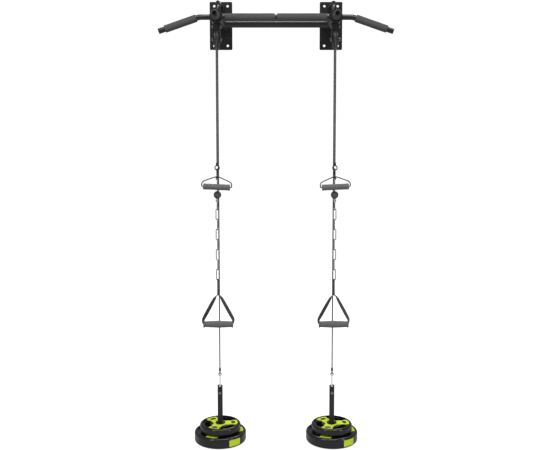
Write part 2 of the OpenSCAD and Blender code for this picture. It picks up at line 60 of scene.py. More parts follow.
# Places that several sub-assemblies share, in millimetres from the middle of the bar and from the wall.
# WRAP_R is the radius of the cable's turn over the wheel, whose back stretch is in line with the pin.
ARM_X = 268.0
BAR_REACH = 300.0
AXLE_Y = -280.0
WRAP_R = 41.0
PIN_Y = AXLE_Y + WRAP_R
STEM_Y = -316.53


# ---------------------------------------------------------------- shader tools


class Wire:
    """A node's output socket that can be used in arithmetic."""

    def __init__(self, tree: bpy.types.NodeTree, socket: bpy.types.NodeSocket) -> None:
        """Wrap one output.

        Args:
            tree: The node tree that the socket is in.
            socket: The output that this value stands for.
        """
        self.tree = tree
        self.socket = socket

    def _math(self, operation: str, first: object, second: object) -> "Wire":
        """Add a Math node.

        Args:
            operation: The node's operation.
            first: Its first value, a number or a Wire.
            second: Its second value, a number or a Wire.

        Returns:
            The node's output.
        """
        node = self.tree.nodes.new("ShaderNodeMath")
        node.operation = operation
        for socket, value in zip(node.inputs, (first, second)):
            if isinstance(value, Wire):
                self.tree.links.new(value.socket, socket)
            else:
                socket.default_value = value
        return Wire(self.tree, node.outputs[0])

    def __add__(self, other: object) -> "Wire":
        """Return self + other."""
        return self._math("ADD", self, other)

    def __radd__(self, other: object) -> "Wire":
        """Return other + self."""
        return self._math("ADD", other, self)

    def __sub__(self, other: object) -> "Wire":
        """Return self - other."""
        return self._math("SUBTRACT", self, other)

    def __rsub__(self, other: object) -> "Wire":
        """Return other - self."""
        return self._math("SUBTRACT", other, self)

    def __mul__(self, other: object) -> "Wire":
        """Return self * other."""
        return self._math("MULTIPLY", self, other)

    def __rmul__(self, other: object) -> "Wire":
        """Return other * self."""
        return self._math("MULTIPLY", other, self)

    def sine(self) -> "Wire":
        """Return the sine of self."""
        return self._math("SINE", self, 0.0)


class Shading:
    """A material's node tree while it is being made."""

    def __init__(self, name: str) -> None:
        """Start a material with a Principled surface.

        Args:
            name: The material's name.
        """
        self.material = bpy.data.materials.new(name)
        self.material.use_nodes = True
        self.tree = self.material.node_tree
        self.surface = self.tree.nodes["Principled BSDF"]

    def node(self, kind: str, settings: dict[str, object], values: dict[object, object]) -> list[Wire]:
        """Add any node.

        Args:
            kind: The node's type.
            settings: Its properties; "stops" sets a ramp's stops.
            values: A number, colour or Wire for each named or numbered input.

        Returns:
            One Wire for each output.
        """
        node = self.tree.nodes.new(kind)
        for key, value in settings.items():
            if key == "stops":
                self._set_stops(node.color_ramp, value)
            else:
                setattr(node, key, value)
        for key, value in values.items():
            self.put(node.inputs[key], value)
        return [Wire(self.tree, socket) for socket in node.outputs]

    @staticmethod
    def _set_stops(ramp: bpy.types.ColorRamp, stops: Sequence[tuple[float, float]]) -> None:
        """Give a ramp its grey stops.

        Args:
            ramp: The ramp.
            stops: Pairs of place and level.
        """
        while len(ramp.elements) < len(stops):
            ramp.elements.new(1.0)
        for element, (place, level) in zip(ramp.elements, stops):
            element.position = place
            element.color = (level, level, level, 1)

    def put(self, socket: bpy.types.NodeSocket, value: object) -> None:
        """Set an input.

        Args:
            socket: The input.
            value: A number, a colour or a Wire.
        """
        if isinstance(value, Wire):
            self.tree.links.new(value.socket, socket)
        elif isinstance(value, tuple) and len(value) == 3 and len(socket.default_value) == 4:
            socket.default_value = (*value, 1.0)
        else:
            socket.default_value = value

    def set(self, **values: object) -> None:
        """Set the surface's inputs, named with underscores for spaces."""
        for key, value in values.items():
            self.put(self.surface.inputs[key.replace("_", " ")], value)

    def place(self) -> Wire:
        """Return the place on the object, in metres."""
        return self.node("ShaderNodeTexCoord", {}, {})[3]

    def along(self) -> tuple[Wire, Wire]:
        """Read the place on a swept piece from its own map.

        Returns:
            How far round or across it a point is, and how far along.
        """
        uv = self.node("ShaderNodeTexCoord", {}, {})[2]
        parts = self.node("ShaderNodeSeparateXYZ", {}, {0: uv})
        return parts[0], parts[1]

    def noise(self, scale: float, detail: float = 3.0, rough: float = 0.55) -> Wire:
        """Add noise.

        Args:
            scale: Cells to the metre.
            detail: Octaves.
            rough: How strong the finer octaves are.

        Returns:
            The noise, from 0 to 1.
        """
        values = {"Vector": self.place(), "Scale": scale, "Detail": detail, "Roughness": rough}
        return self.node("ShaderNodeTexNoise", {}, values)[0]

    def cells(self, scale: float) -> Wire:
        """Return the distance to the nearest of scattered points."""
        return self.node("ShaderNodeTexVoronoi", {}, {"Vector": self.place(), "Scale": scale})[0]

    def ramp(self, value: Wire, stops: Sequence[tuple[float, float]]) -> Wire:
        """Return value through a ramp of grey stops."""
        return self.node("ShaderNodeValToRGB", {"stops": stops}, {0: value})[0]

    def mix(self, mask: object, first: object, second: object) -> Wire:
        """Return a colour between two, by a mask."""
        values = {0: mask, 6: first, 7: second}
        return self.node("ShaderNodeMix", {"data_type": "RGBA"}, values)[2]

    def bump(self, height: Wire, depth: float, strength: float = 1.0) -> Wire:
        """Return a normal raised by height.

        Args:
            height: From 0 to 1.
            depth: What a height of 1 stands for, in metres.
            strength: How much of it shows.

        Returns:
            The normal.
        """
        return self.node("ShaderNodeBump", {}, {"Height": height, "Distance": depth, "Strength": strength})[0]


# -------------------------------------------------------------------- finishes


@dataclass(frozen=True)
class Finish:
    """A finish with a base colour, and dust that lightens it in places."""

    name: str
    color: Point
    rough: float = 0.4
    grain: float = 1200.0
    depth: float = 0.00008
    tint: float = 1.35
    coat: float = 0.0
    gleam: float = 0.5

    def lighter(self) -> Point:
        """Return the colour of the finish where it is lightest."""
        return tuple(min(1.0, c * self.tint + 0.002) for c in self.color)

    def paint(self, s: Shading) -> None:
        """Set the surface.

        Args:
            s: The material being made.
        """
        cloud = s.noise(18.0, 5.0)
        fine = s.noise(self.grain, 2.0)
        scuffs = s.ramp(s.noise(140.0, 6.0, 0.7), [(0.52, 0.0), (0.72, 1.0)])
        s.set(
            Base_Color=s.mix(cloud * 0.6 + scuffs * 0.3, self.color, self.lighter()),
            Roughness=self.rough - 0.06 + cloud * 0.1 + scuffs * 0.05,
            Coat_Weight=self.coat,
            Coat_Roughness=0.08,
            Specular_IOR_Level=self.gleam,
            Normal=s.bump(fine, self.depth),
        )

    def material(self) -> bpy.types.Material:
        """Make this finish's material, the first time that it is asked for.

        Returns:
            The material.
        """
        found = bpy.data.materials.get(self.name)
        if found:
            return found
        s = Shading(self.name)
        self.paint(s)
        return s.material


@dataclass(frozen=True)
class PowderCoat(Finish):
    """Baked paint with a fine orange peel."""

    def paint(self, s: Shading) -> None:
        """Set the surface.

        Args:
            s: The material being made.
        """
        cloud = s.noise(9.0, 4.0)
        peel = s.noise(self.grain, 1.5, 0.4)
        specks = s.ramp(s.cells(420.0), [(0.03, 1.0), (0.07, 0.0)])
        s.set(
            Base_Color=s.mix(cloud * 0.5 + specks * 0.12, self.color, self.lighter()),
            Roughness=self.rough - 0.04 + cloud * 0.08 + peel * 0.05,
            Coat_Weight=self.coat,
            Coat_Roughness=0.12,
            Specular_IOR_Level=self.gleam,
            Normal=s.bump(peel, self.depth),
        )


@dataclass(frozen=True)
class Metal(Finish):
    """Plated or drawn steel with faint scratches."""

    def paint(self, s: Shading) -> None:
        """Set the surface.

        Args:
            s: The material being made.
        """
        cloud = s.noise(60.0, 5.0)
        streak = s.node("ShaderNodeMapping", {}, {"Vector": s.place(), "Scale": (1.0, 1.0, 0.06)})[0]
        lines = s.node("ShaderNodeTexNoise", {}, {"Vector": streak, "Scale": 2600.0, "Detail": 2.0})[0]
        spots = s.ramp(s.noise(330.0, 4.0), [(0.58, 0.0), (0.75, 1.0)])
        s.set(
            Base_Color=s.mix(cloud * 0.6 + spots * 0.25, self.color, tuple(c * 0.72 for c in self.color)),
            Roughness=self.rough - 0.05 + cloud * 0.1 + lines * 0.06 + spots * 0.08,
            Metallic=1.0,
            Normal=s.bump(lines, self.depth),
        )


@dataclass(frozen=True)
class Foam(Finish):
    """Closed-cell foam with open pores on its skin."""

    def paint(self, s: Shading) -> None:
        """Set the surface.

        Args:
            s: The material being made.
        """
        pores = s.ramp(s.cells(self.grain), [(0.05, 0.0), (0.4, 1.0)])
        cloud = s.noise(30.0, 4.0)
        s.set(
            Base_Color=s.mix(cloud * 0.7, self.color, self.lighter()),
            Roughness=self.rough - 0.05 + pores * 0.08,
            Specular_IOR_Level=self.gleam,
            Normal=s.bump(pores * 0.6 + s.noise(2400.0, 2.0) * 0.4, self.depth),
        )


@dataclass(frozen=True)
class Webbing(Finish):
    """Flat woven strap; its pattern follows the piece's own map, in millimetres."""

    pitch: float = 1.7

    def paint(self, s: Shading) -> None:
        """Set the surface.

        Args:
            s: The material being made.
        """
        across, along = s.along()
        warp = (across * (TURN / self.pitch)).sine()
        weft = (along * (TURN / self.pitch) + (across * (math.pi / self.pitch)).sine() * 1.2).sine()
        weave = (warp * 0.5 + 0.5) * (weft * 0.5 + 0.5)
        fuzz = s.noise(1500.0, 3.0)
        s.set(
            Base_Color=s.mix(weave * 0.7 + fuzz * 0.2, self.color, self.lighter()),
            Roughness=self.rough + fuzz * 0.1,
            Sheen_Weight=0.35,
            Normal=s.bump(weave * 0.8 + fuzz * 0.2, self.depth),
        )


@dataclass(frozen=True)
class CoatedCable(Finish):
    """Wire rope in a thin coat; its lay follows the piece's own map."""

    strands: int = 6
    lay: float = 30.0

    def paint(self, s: Shading) -> None:
        """Set the surface.

        Args:
            s: The material being made.
        """
        around, along = s.along()
        twist = (around * (TURN * self.strands) + along * (TURN / self.lay)).sine() * 0.5 + 0.5
        wires = (around * (TURN * 30) - along * (TURN * 5 / self.lay)).sine() * 0.5 + 0.5
        dust = s.noise(90.0, 4.0)
        s.set(
            Base_Color=s.mix(twist * 0.55 + wires * 0.2 + dust * 0.25, self.color, self.lighter()),
            Roughness=self.rough + dust * 0.12,
            Coat_Weight=self.coat,
            Coat_Roughness=0.2,
            Normal=s.bump(twist * 0.8 + wires * 0.2, self.depth),
        )


BLACK_PAINT = PowderCoat("black_powder_coat", (0.008, 0.008, 0.009), 0.3, 700.0, 0.00001, coat=0.15)
ZINC = Metal("zinc_plate", (0.3, 0.3, 0.315), 0.26, depth=0.000006)
DRAWN_STEEL = Metal("drawn_steel", (0.045, 0.045, 0.048), 0.3, depth=0.000006)
NYLON = Finish("moulded_nylon", (0.022, 0.022, 0.024), 0.42, 1400.0, 0.00006)
CABLE = CoatedCable("coated_cable", (0.02, 0.02, 0.021), 0.34, depth=0.0003, tint=3.0, coat=0.2)
BLACK_FITTING = Metal("blackened_steel", (0.055, 0.055, 0.058), 0.3, depth=0.000008)
GRIP_RUBBER = Finish("grip_rubber", (0.011, 0.011, 0.012), 0.44, 1800.0, 0.00004, 1.5, gleam=0.25)
BALL_RUBBER = Finish("ball_rubber", (0.02, 0.02, 0.022), 0.24, 1500.0, 0.00003, coat=0.4)
BRIGHT_CHAIN = Metal("bright_chain", (0.3, 0.3, 0.31), 0.2, depth=0.000004)
WEBBING = Webbing("black_webbing", (0.012, 0.012, 0.013), 0.75, depth=0.0004, tint=3.0)
THREAD = Webbing("stitching_thread", (0.05, 0.05, 0.052), 0.7, depth=0.0001, tint=1.8, pitch=0.5)
GRIP_FOAM = Foam("grip_foam", (0.006, 0.006, 0.007), 0.42, 900.0, 0.0001, 1.5, gleam=0.22)
PLATE_BLACK = Finish("plate_plastic", (0.009, 0.009, 0.01), 0.2, 1100.0, 0.00002, 1.5, coat=0.15, gleam=0.4)
PLATE_LIME = Finish("plate_lime", (0.41, 0.5, 0.004), 0.36, 1300.0, 0.00003, 1.08)
PLUG_PLASTIC = Finish("plug_plastic", (0.01, 0.01, 0.01), 0.46, 1500.0, 0.00006)
WELD = PowderCoat("painted_weld", (0.012, 0.012, 0.013), 0.32, 1600.0, 0.00012, coat=0.25)


class Kind(Enum):
    """CAD pieces that stay in view, by the end of their names, and the finish that each takes."""

    BRACKET = ("bracket", BLACK_PAINT)
    PULL_UP_BAR = ("pull_up_bar", BLACK_PAINT)
    CROSSBAR = ("crossbar", BLACK_PAINT)
    HANGER_BOLTS = ("hanger_bolts", ZINC)
    CHEEKS = ("pulley_cheeks", BLACK_PAINT)
    AXLE = ("pulley_axle", ZINC)
    WHEEL = ("pulley_wheel", NYLON)
    CABLE_END = ("cable_end", BLACK_FITTING)
    CARABINER = ("carabiner", BLACK_FITTING)
    CARABINER_GATE = ("carabiner_gate", BLACK_FITTING)
    STEM = ("stopper_stem", ZINC)
    SNAP_HOOK = ("snap_hook", ZINC)
    SNAP_GATE = ("snap_hook_gate", ZINC)
    CHAIN = ("chain", BRIGHT_CHAIN)
    PIN = ("loading_pin", BLACK_PAINT)
    CROSS_BOLT = ("cross_bolt", ZINC)
    EYE_ROD = ("eye_rod", DRAWN_STEEL)
    SHACKLE = ("cable_shackle", DRAWN_STEEL)
    LARGE_PLATE = ("large_plate", PLATE_BLACK)
    SMALL_PLATE = ("small_plate", PLATE_BLACK)
    LARGE_INLAY = ("large_plate_inlay", PLATE_LIME)
    SMALL_INLAY = ("small_plate_inlay", PLATE_LIME)


def dress_cad_nodes() -> None:
    """Give each CAD node that stays in view its finish."""
    finishes = dict(kind.value for kind in Kind)
    for name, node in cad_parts.items():
        ending = name.removeprefix("left_").removeprefix("right_")
        finish = finishes.get(ending, NYLON)
        node.data.materials.clear()
        node.data.materials.append(finish.material())


# ------------------------------------------------------------------ mesh tools


def along_axis(start: Point, way: Vector) -> Matrix:
    """Return the matrix that turns +Z to a way and moves the origin to start."""
    return Matrix.Translation(start) @ way.to_track_quat("Z", "Y").to_matrix().to_4x4()


def rounded(corners: Sequence[Vector], radius: float, closed: bool, steps: int = 6) -> list[Vector]:
    """Round the corners of a path.

    Args:
        corners: The path's corners, in millimetres.
        radius: How far before and after a corner the curve starts and ends.
        closed: Whether the last corner joins the first.
        steps: Points in each curve.

    Returns:
        The path's points.
    """
    path = []
    count = len(corners)
    for i, corner in enumerate(corners):
        if not closed and i in (0, count - 1):
            path.append(corner.copy())
            continue
        before = corners[i - 1] - corner
        after = corners[(i + 1) % count] - corner
        reach = min(radius, before.length * 0.49, after.length * 0.49)
        first = corner + before.normalized() * reach
        last = corner + after.normalized() * reach
        for k in range(steps + 1):
            t = k / steps
            path.append(first * (1 - t) ** 2 + corner * 2 * t * (1 - t) + last * t ** 2)
    return path


class Shape:
    """A mesh being modelled, in millimetres in the shared frame."""

    def __init__(self, flat_map: bool = False) -> None:
        """Start an empty mesh with a map for patterns that follow the surface.

        Args:
            flat_map: Whether the map runs across a swept piece, in millimetres, and not round it.
        """
        self.bm = bmesh.new()
        self.map = self.bm.loops.layers.uv.new("UVMap")
        self.flat_map = flat_map

    def lathe(self, profile: Sequence[tuple[float, float]], place: Matrix, ring: bool = False,
              steps: int = 48) -> None:
        """Turn a profile round the Z axis.

        Args:
            profile: Pairs of radius and height.
            place: Where the turned shape goes.
            ring: Whether the profile's last point joins its first.
            steps: Sides of the turned shape.
        """
        kept = set(self.bm.verts)
        verts = [self.bm.verts.new((r, 0, h)) for r, h in profile]
        pairs = list(zip(verts, verts[1:])) + ([(verts[-1], verts[0])] if ring else [])
        edges = [self.bm.edges.new(pair) for pair in pairs]
        bmesh.ops.spin(self.bm, geom=verts + edges, cent=(0, 0, 0), axis=(0, 0, 1),
                       angle=TURN, steps=steps, use_merge=True)
        bmesh.ops.remove_doubles(self.bm, verts=self.new_since(kept), dist=0.001)
        new = self.new_since(kept)
        bmesh.ops.recalc_face_normals(self.bm, faces=self._faces_round(new))
        bmesh.ops.transform(self.bm, matrix=place, verts=new)

    def new_since(self, kept: set[bmesh.types.BMVert]) -> list[bmesh.types.BMVert]:
        """Return the vertices that aren't among the ones kept."""
        return [v for v in self.bm.verts if v not in kept]

    @staticmethod
    def _faces_round(verts: Sequence[bmesh.types.BMVert]) -> list[bmesh.types.BMFace]:
        """Return the faces that some vertices are in, each once and in a steady order."""
        return list(dict.fromkeys(face for v in verts for face in v.link_faces))

    @staticmethod
    def _edges_within(ring: Sequence[bmesh.types.BMVert]) -> list[bmesh.types.BMEdge]:
        """Return the edges between the vertices of one section, in a steady order."""
        inside = set(ring)
        near = dict.fromkeys(edge for v in ring for edge in v.link_edges)
        return [edge for edge in near if set(edge.verts) <= inside]

    def sweep(self, path: Sequence[Vector], outline: Sequence[tuple[float, float]], side: Vector,
              closed: bool = False, turn: Callable[[float], float] = lambda t: 0.0,
              size: Callable[[float], tuple[float, float]] = lambda t: (1.0, 1.0)) -> None:
        """Carry an outline along a path.

        Args:
            path: Points of the centreline.
            outline: Pairs across and through the section.
            side: The way that the outline's first axis takes.
            closed: Whether the path's end joins its start.
            turn: The section's turn about the path, by the part of the way along.
            size: The section's scale on its two axes, by the part of the way along.
        """
        count = len(path)
        places = []
        lengths = [0.0]
        for i, point in enumerate(path):
            last = path[i - 1] if i or closed else point
            coming = path[(i + 1) % count] if i < count - 1 or closed else point
            forward = (coming - last).normalized()
            across = (side - forward * side.dot(forward)).normalized()
            axes = Matrix((across, forward.cross(across), forward)).transposed().to_4x4()
            t = i / (count - 1)
            scale = Matrix.Diagonal((*size(t), 1, 1))
            places.append(Matrix.Translation(point) @ axes @ Matrix.Rotation(turn(t), 4, "Z") @ scale)
            if i:
                lengths.append(lengths[-1] + (point - path[i - 1]).length)
        kept = set(self.bm.verts)
        ring = [self.bm.verts.new((*corner, 0)) for corner in outline]
        edges = [self.bm.edges.new((ring[i - 1], ring[i])) for i in range(len(ring))]
        bmesh.ops.transform(self.bm, matrix=places[0], verts=ring)
        rings = [ring]
        for i in range(1, count):
            made = bmesh.ops.extrude_edge_only(self.bm, edges=edges)["geom"]
            verts = [g for g in made if isinstance(g, bmesh.types.BMVert)]
            fresh = set(verts)
            edges = [g for g in made if isinstance(g, bmesh.types.BMEdge) and set(g.verts) <= fresh]
            bmesh.ops.transform(self.bm, matrix=places[i] @ places[i - 1].inverted(), verts=verts)
            rings.append(verts)
        marks = self._marks(rings, places, outline, lengths)
        first = self._edges_within(ring)
        if closed:
            bmesh.ops.bridge_loops(self.bm, edges=edges + first)
        else:
            bmesh.ops.contextual_create(self.bm, geom=edges)
            bmesh.ops.contextual_create(self.bm, geom=first)
        faces = self._faces_round(self.new_since(kept))
        bmesh.ops.recalc_face_normals(self.bm, faces=faces)
        self._write_map(faces, marks)

    @staticmethod
    def _marks(rings: Sequence[list], places: Sequence[Matrix], outline: Sequence[tuple[float, float]],
               lengths: Sequence[float]) -> dict:
        """Find where each vertex of a sweep is on the map.

        Args:
            rings: The vertices of each section.
            places: The place of each section.
            outline: The section's outline.
            lengths: How far along the path each section is.

        Returns:
            For each vertex, its part of the way round, its place across and its place along.
        """
        marks = {}
        flat = [Vector((*corner, 0)) for corner in outline]
        for verts, place, length in zip(rings, places, lengths):
            back = place.inverted()
            for v in verts:
                local = back @ v.co
                nearest = min(range(len(flat)), key=lambda i: (flat[i] - local).length)
                marks[v] = (nearest / len(flat), outline[nearest][0], length)
        return marks

    def _write_map(self, faces: Sequence[bmesh.types.BMFace], marks: dict) -> None:
        """Write the map: round or across, and along.

        Args:
            faces: The faces of the sweep.
            marks: What _marks found.
        """
        for face in faces:
            rounds = [marks[loop.vert][0] for loop in face.loops if loop.vert in marks]
            wraps = len(rounds) == 4 and max(rounds) - min(rounds) > 0.5
            for loop in face.loops:
                around, across, along = marks.get(loop.vert, (0.0, 0.0, 0.0))
                if wraps and around < 0.5:
                    around += 1.0
                loop[self.map].uv = (across if self.flat_map else around, along)

    def piece(self, name: str, body: str, slot: str, finish: Finish,
              smooth: float = 40.0) -> bpy.types.Object:
        """Make the object and let it ride on a body.

        Args:
            name: The object's name.
            body: The body that it moves with, or nothing for a piece that is left on no body.
            slot: Not used.
            finish: How it looks.
            smooth: Edges sharper than this many degrees stay sharp.

        Returns:
            The new object.
        """
        bmesh.ops.transform(self.bm, matrix=Matrix.Scale(MM, 4), verts=self.bm.verts)
        for face in self.bm.faces:
            face.smooth = True
        limit = math.radians(smooth)
        for edge in self.bm.edges:
            edge.smooth = edge.calc_face_angle(0.0) < limit
        mesh = bpy.data.meshes.new(name)
        self.bm.to_mesh(mesh)
        self.bm.free()
        piece = bpy.data.objects.new(name, mesh)
        bpy.context.scene.collection.objects.link(piece)
        piece.data.materials.append(finish.material())
        if body:
            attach(piece, body)
        LOG.info("%s rides on %s: %d faces", name, body or "two bodies", len(mesh.polygons))
        return piece


def angles(count: int) -> list[float]:
    """Return equally spaced angles round a full turn."""
    return [TURN * i / count for i in range(count)]


def circle(radius: float, sides: int = 16) -> list[tuple[float, float]]:
    """Return the outline of a round section."""
    return [(radius * math.cos(a), radius * math.sin(a)) for a in angles(sides)]


def ribbon(width: float, thick: float) -> list[tuple[float, float]]:
    """Outline a flat strap's section, with soft edges and points across it.

    Args:
        width: The strap's width.
        thick: Its thickness.

    Returns:
        Pairs across and through the strap.
    """
    half = width / 2
    row = [half - thick / 4, half * 0.75, half * 0.5, half * 0.25]
    top = [*row, 0.0, *(-x for x in reversed(row))]
    upper = [(x, thick / 2) for x in top]
    lower = [(x, -thick / 2) for x in reversed(top)]
    return [(half, 0.0), *upper, (-half, 0.0), *lower]


# ---------------------------------------------------------------- sub-assemblies


@dataclass
class Studio:
    """The camera, floor, lights and surroundings, in metres."""

    eye: Point = (0.0, -3.8, -0.507)
    pitch: float = 5.64
    lens: float = 50.03
    sensor: float = 36.0
    shift: tuple[float, float] = (-0.0018, -0.0345)
    floor_z: float = -1.995
    floor_half: float = 14.0
    lit_point: Point = (0.0, -0.2, -0.7)
    floor_glow: float = 0.12
    world_glow: float = 0.25
    seen_glow: float = 0.8

    def build(self) -> None:
        """Place everything that isn't part of the object."""
        camera = bpy.data.cameras.new("camera")
        camera.lens = self.lens
        camera.sensor_width = self.sensor
        camera.shift_x, camera.shift_y = self.shift
        holder = bpy.data.objects.new("camera", camera)
        holder.location = self.eye
        holder.rotation_euler = (math.radians(90 - self.pitch), 0, 0)
        bpy.context.scene.collection.objects.link(holder)
        bpy.context.scene.camera = holder
        self._floor()
        self._light("key", (-2.2, -2.8, 0.9), (0.7, 2.6), 44.0)
        self._light("top", (0.2, -2.0, 2.4), (3.2, 0.5), 90.0)
        self._light("fill", (2.6, -2.2, -0.6), (0.5, 2.2), 24.0)
        self._light("rim", (0.4, 2.4, 1.6), (2.4, 0.8), 60.0)
        self._world()

    def _floor(self) -> None:
        """Lay the pale floor, which looks brighter than the light that it gives."""
        bm = bmesh.new()
        bmesh.ops.create_grid(bm, x_segments=1, y_segments=1, size=self.floor_half)
        bmesh.ops.translate(bm, vec=(0, 0, self.floor_z), verts=bm.verts)
        mesh = bpy.data.meshes.new("floor")
        bm.to_mesh(mesh)
        bm.free()
        floor = bpy.data.objects.new("floor", mesh)
        bpy.context.scene.collection.objects.link(floor)
        s = Shading("pale_floor")
        seen = s.node("ShaderNodeLightPath", {}, {})[0]
        s.set(
            Base_Color=(0.4, 0.4, 0.4),
            Roughness=0.9,
            Emission_Color=(1.0, 1.0, 1.0),
            Emission_Strength=seen * self.seen_glow + self.floor_glow,
        )
        mesh.materials.append(s.material)

    def _light(self, name: str, at: Point, size: tuple[float, float], power: float) -> None:
        """Hang a soft light that faces the middle of the object.

        Args:
            name: The light's name.
            at: Where it hangs.
            size: Its width and height.
            power: Its power in watts.
        """
        light = bpy.data.lights.new(name, "AREA")
        light.shape = "RECTANGLE"
        light.size, light.size_y = size
        light.energy = power
        holder = bpy.data.objects.new(name, light)
        holder.location = at
        way = Vector(self.lit_point) - Vector(at)
        holder.rotation_euler = way.to_track_quat("-Z", "Y").to_euler()
        bpy.context.scene.collection.objects.link(holder)

    def _world(self) -> None:
        """Make the surroundings white to look at and dimmer to be lit by."""
        world = bpy.data.worlds.new("white")
        world.use_nodes = True
        tree = world.node_tree
        back = tree.nodes["Background"]
        back.inputs["Color"].default_value = (1, 1, 1, 1)
        seen = Wire(tree, tree.nodes.new("ShaderNodeLightPath").outputs["Is Camera Ray"])
        strength = seen * self.seen_glow + self.world_glow
        tree.links.new(strength.socket, back.inputs["Strength"])
        bpy.context.scene.world = world
        bpy.context.scene.view_settings.view_transform = "Standard"


@dataclass
class BarAndBrackets:
    """Foam sleeves, end plugs and weld beads on the tubes."""

    arm_x: float = ARM_X
    reach: float = BAR_REACH
    arm_r: float = 30.0
    arm_front: float = 325.0
    tube_r: float = 12.5
    foam_r: float = 17.0
    foam_rim: float = 2.6
    foam_swell: float = 0.12
    sleeve_bore: float = 12.65
    sleeve_bevel: float = 0.6
    middle_gap: float = 5.0
    middle_len: float = 225.0
    wing_x: float = 345.0
    wing_turn: float = 10.04
    wing_run: float = 181.4
    wing_angle: float = math.radians(19)
    wing_gap: float = 4.0
    wing_len: float = 149.4
    neutral_gap: float = 2.0
    neutral_len: float = 95.0
    neutral_foam: float = 89.0
    plug_r: float = 9.8
    plug_deep: float = 14.0
    lip_r: float = 1.2
    lip_h: float = 1.3
    cross_y: float = -90.0
    cross_r: float = 19.0
    brace_y: float = -190.0
    brace_z: float = 88.0
    wall_y: float = -6.0
    bead_steps: int = 96
    bead_ripple: float = 0.13

    def build(self) -> None:
        """Make the pieces of the bar and the brackets."""
        self.bar_sleeves()
        self.neutral_sleeves()
        self.plugs()
        for side, name in SIDES:
            self.welds(side, name)

    def wing(self, side: int, along: float) -> Matrix:
        """Find a place on a wing, with +Z outwards along it.

        Args:
            side: -1 for left, 1 for right.
            along: How far out from the wing's bend.

        Returns:
            The place.
        """
        way = Vector((side * math.cos(self.wing_angle), 0, -math.sin(self.wing_angle)))
        start = Vector((side * self.wing_x, -self.reach, 0)) + way * (self.wing_turn + along)
        return along_axis(start, way)

    def sleeve(self, shape: Shape, length: float, place: Matrix) -> None:
        """Add one foam sleeve with soft rims and a slight swell.

        Args:
            shape: The mesh that it joins.
            length: The sleeve's length.
            place: Where its near end goes.
        """
        rim = self.foam_rim
        rounds = 6
        ends = []
        for k in range(rounds + 1):
            a = math.pi / 2 * k / rounds
            ends.append((self.foam_r - rim + rim * math.sin(a), rim - rim * math.cos(a)))
        steps = 24
        swell = [(self.foam_r + self.foam_swell * math.sin(2 * TURN * k / steps),
                  rim + (length - 2 * rim) * k / steps) for k in range(1, steps)]
        outer = ends + swell + [(r, length - h) for r, h in reversed(ends)]
        bore, bevel = self.sleeve_bore, self.sleeve_bevel
        profile = [(bore, bevel), (bore + bevel, 0.0), *outer, (bore + bevel, length), (bore, length - bevel)]
        shape.lathe(profile, place, ring=True)

    def bar_sleeves(self) -> None:
        """Put two sleeves in the middle of the bar and one on each wing."""
        shape = Shape()
        for side, _ in SIDES:
            start = (side * self.middle_gap, -self.reach, 0)
            self.sleeve(shape, self.middle_len, along_axis(start, Vector((side, 0, 0))))
            self.sleeve(shape, self.wing_len, self.wing(side, self.wing_gap))
        foam = shape.piece("foam_bar_sleeves", "frame", "grip_foam", GRIP_FOAM)
        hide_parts("bar_grips")

    def neutral_sleeves(self) -> None:
        """Put a sleeve on each forward grip."""
        shape = Shape()
        for side, _ in SIDES:
            start = (side * self.arm_x, -self.arm_front - self.neutral_gap, 0)
            self.sleeve(shape, self.neutral_foam, along_axis(start, FORWARD))
        foam = shape.piece("foam_neutral_sleeves", "frame", "grip_foam", GRIP_FOAM)
        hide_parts("neutral_grips")

    def plugs(self) -> None:
        """Close the four open tube ends with cupped plugs."""
        shape = Shape()
        tube, lip_r, lip_h = self.tube_r, self.lip_r, self.lip_h
        head = [(self.plug_r, -self.plug_deep), (self.plug_r, 0.0), (tube, 0.0), (tube, lip_h)]
        lip = [(tube - lip_r + lip_r * math.cos(a), lip_h + lip_r * math.sin(a)) for a in angles(24)[1:12]]
        cup = [(tube - 2.6, 0.8), (tube - 3.6, -1.0), (tube - 4.2, -11.4), (7.2, -12.4)]
        profile = [(0.0, -self.plug_deep), *head, *lip, *cup, (0.0, -12.6)]
        for side, _ in SIDES:
            front = (side * self.arm_x, -self.arm_front - self.neutral_len, 0)
            shape.lathe(profile, self.wing(side, self.wing_run))
            shape.lathe(profile, along_axis(front, FORWARD))
        plugs = shape.piece("cupped_end_plugs", "frame", "plug_plastic", PLUG_PLASTIC)
        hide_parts("end_plugs")

    def welds(self, side: int, name: str) -> None:
        """Lay rippled beads round each joint of one bracket.

        Args:
            side: -1 for left, 1 for right.
            name: The side's name.
        """
        shape = Shape()
        x = side * self.arm_x
        self.bead(shape, self.tube_joint((x, self.wall_y, 0), self.arm_r), 2.6)
        self.bead(shape, self.tube_joint((x, self.wall_y, self.brace_z), self.tube_r), 2.0)
        self.bead(shape, self.tube_joint((x, -self.arm_front, 0), self.tube_r), 2.0)
        for way in (-1, 1):
            self.bead(shape, self.saddle(x, way, -self.reach, self.tube_r), 1.8)
        self.bead(shape, self.saddle(x, -side, self.cross_y, self.cross_r), 2.2)
        self.bead(shape, self.brace_foot(x), 2.0)
        shape.piece(f"{name}_weld_beads", "frame", "black_paint", WELD, smooth=80.0)

    def tube_joint(self, center: Point, radius: float) -> list[Vector]:
        """Return a circle round a tube that runs along Y."""
        return [Vector(center) + Vector((radius * math.cos(a), 0, radius * math.sin(a)))
                for a in angles(self.bead_steps)]

    def saddle(self, x: float, way: int, y: float, radius: float) -> list[Vector]:
        """Find the line where a tube along X meets the arm's side.

        Args:
            x: The arm's middle.
            way: The side of the arm, -1 or 1.
            y: The tube's middle.
            radius: The tube's radius.

        Returns:
            Points of the line.
        """
        path = []
        for a in angles(self.bead_steps):
            z = radius * math.sin(a)
            out = math.sqrt(self.arm_r ** 2 - z ** 2)
            path.append(Vector((x + way * out, y + radius * math.cos(a), z)))
        return path

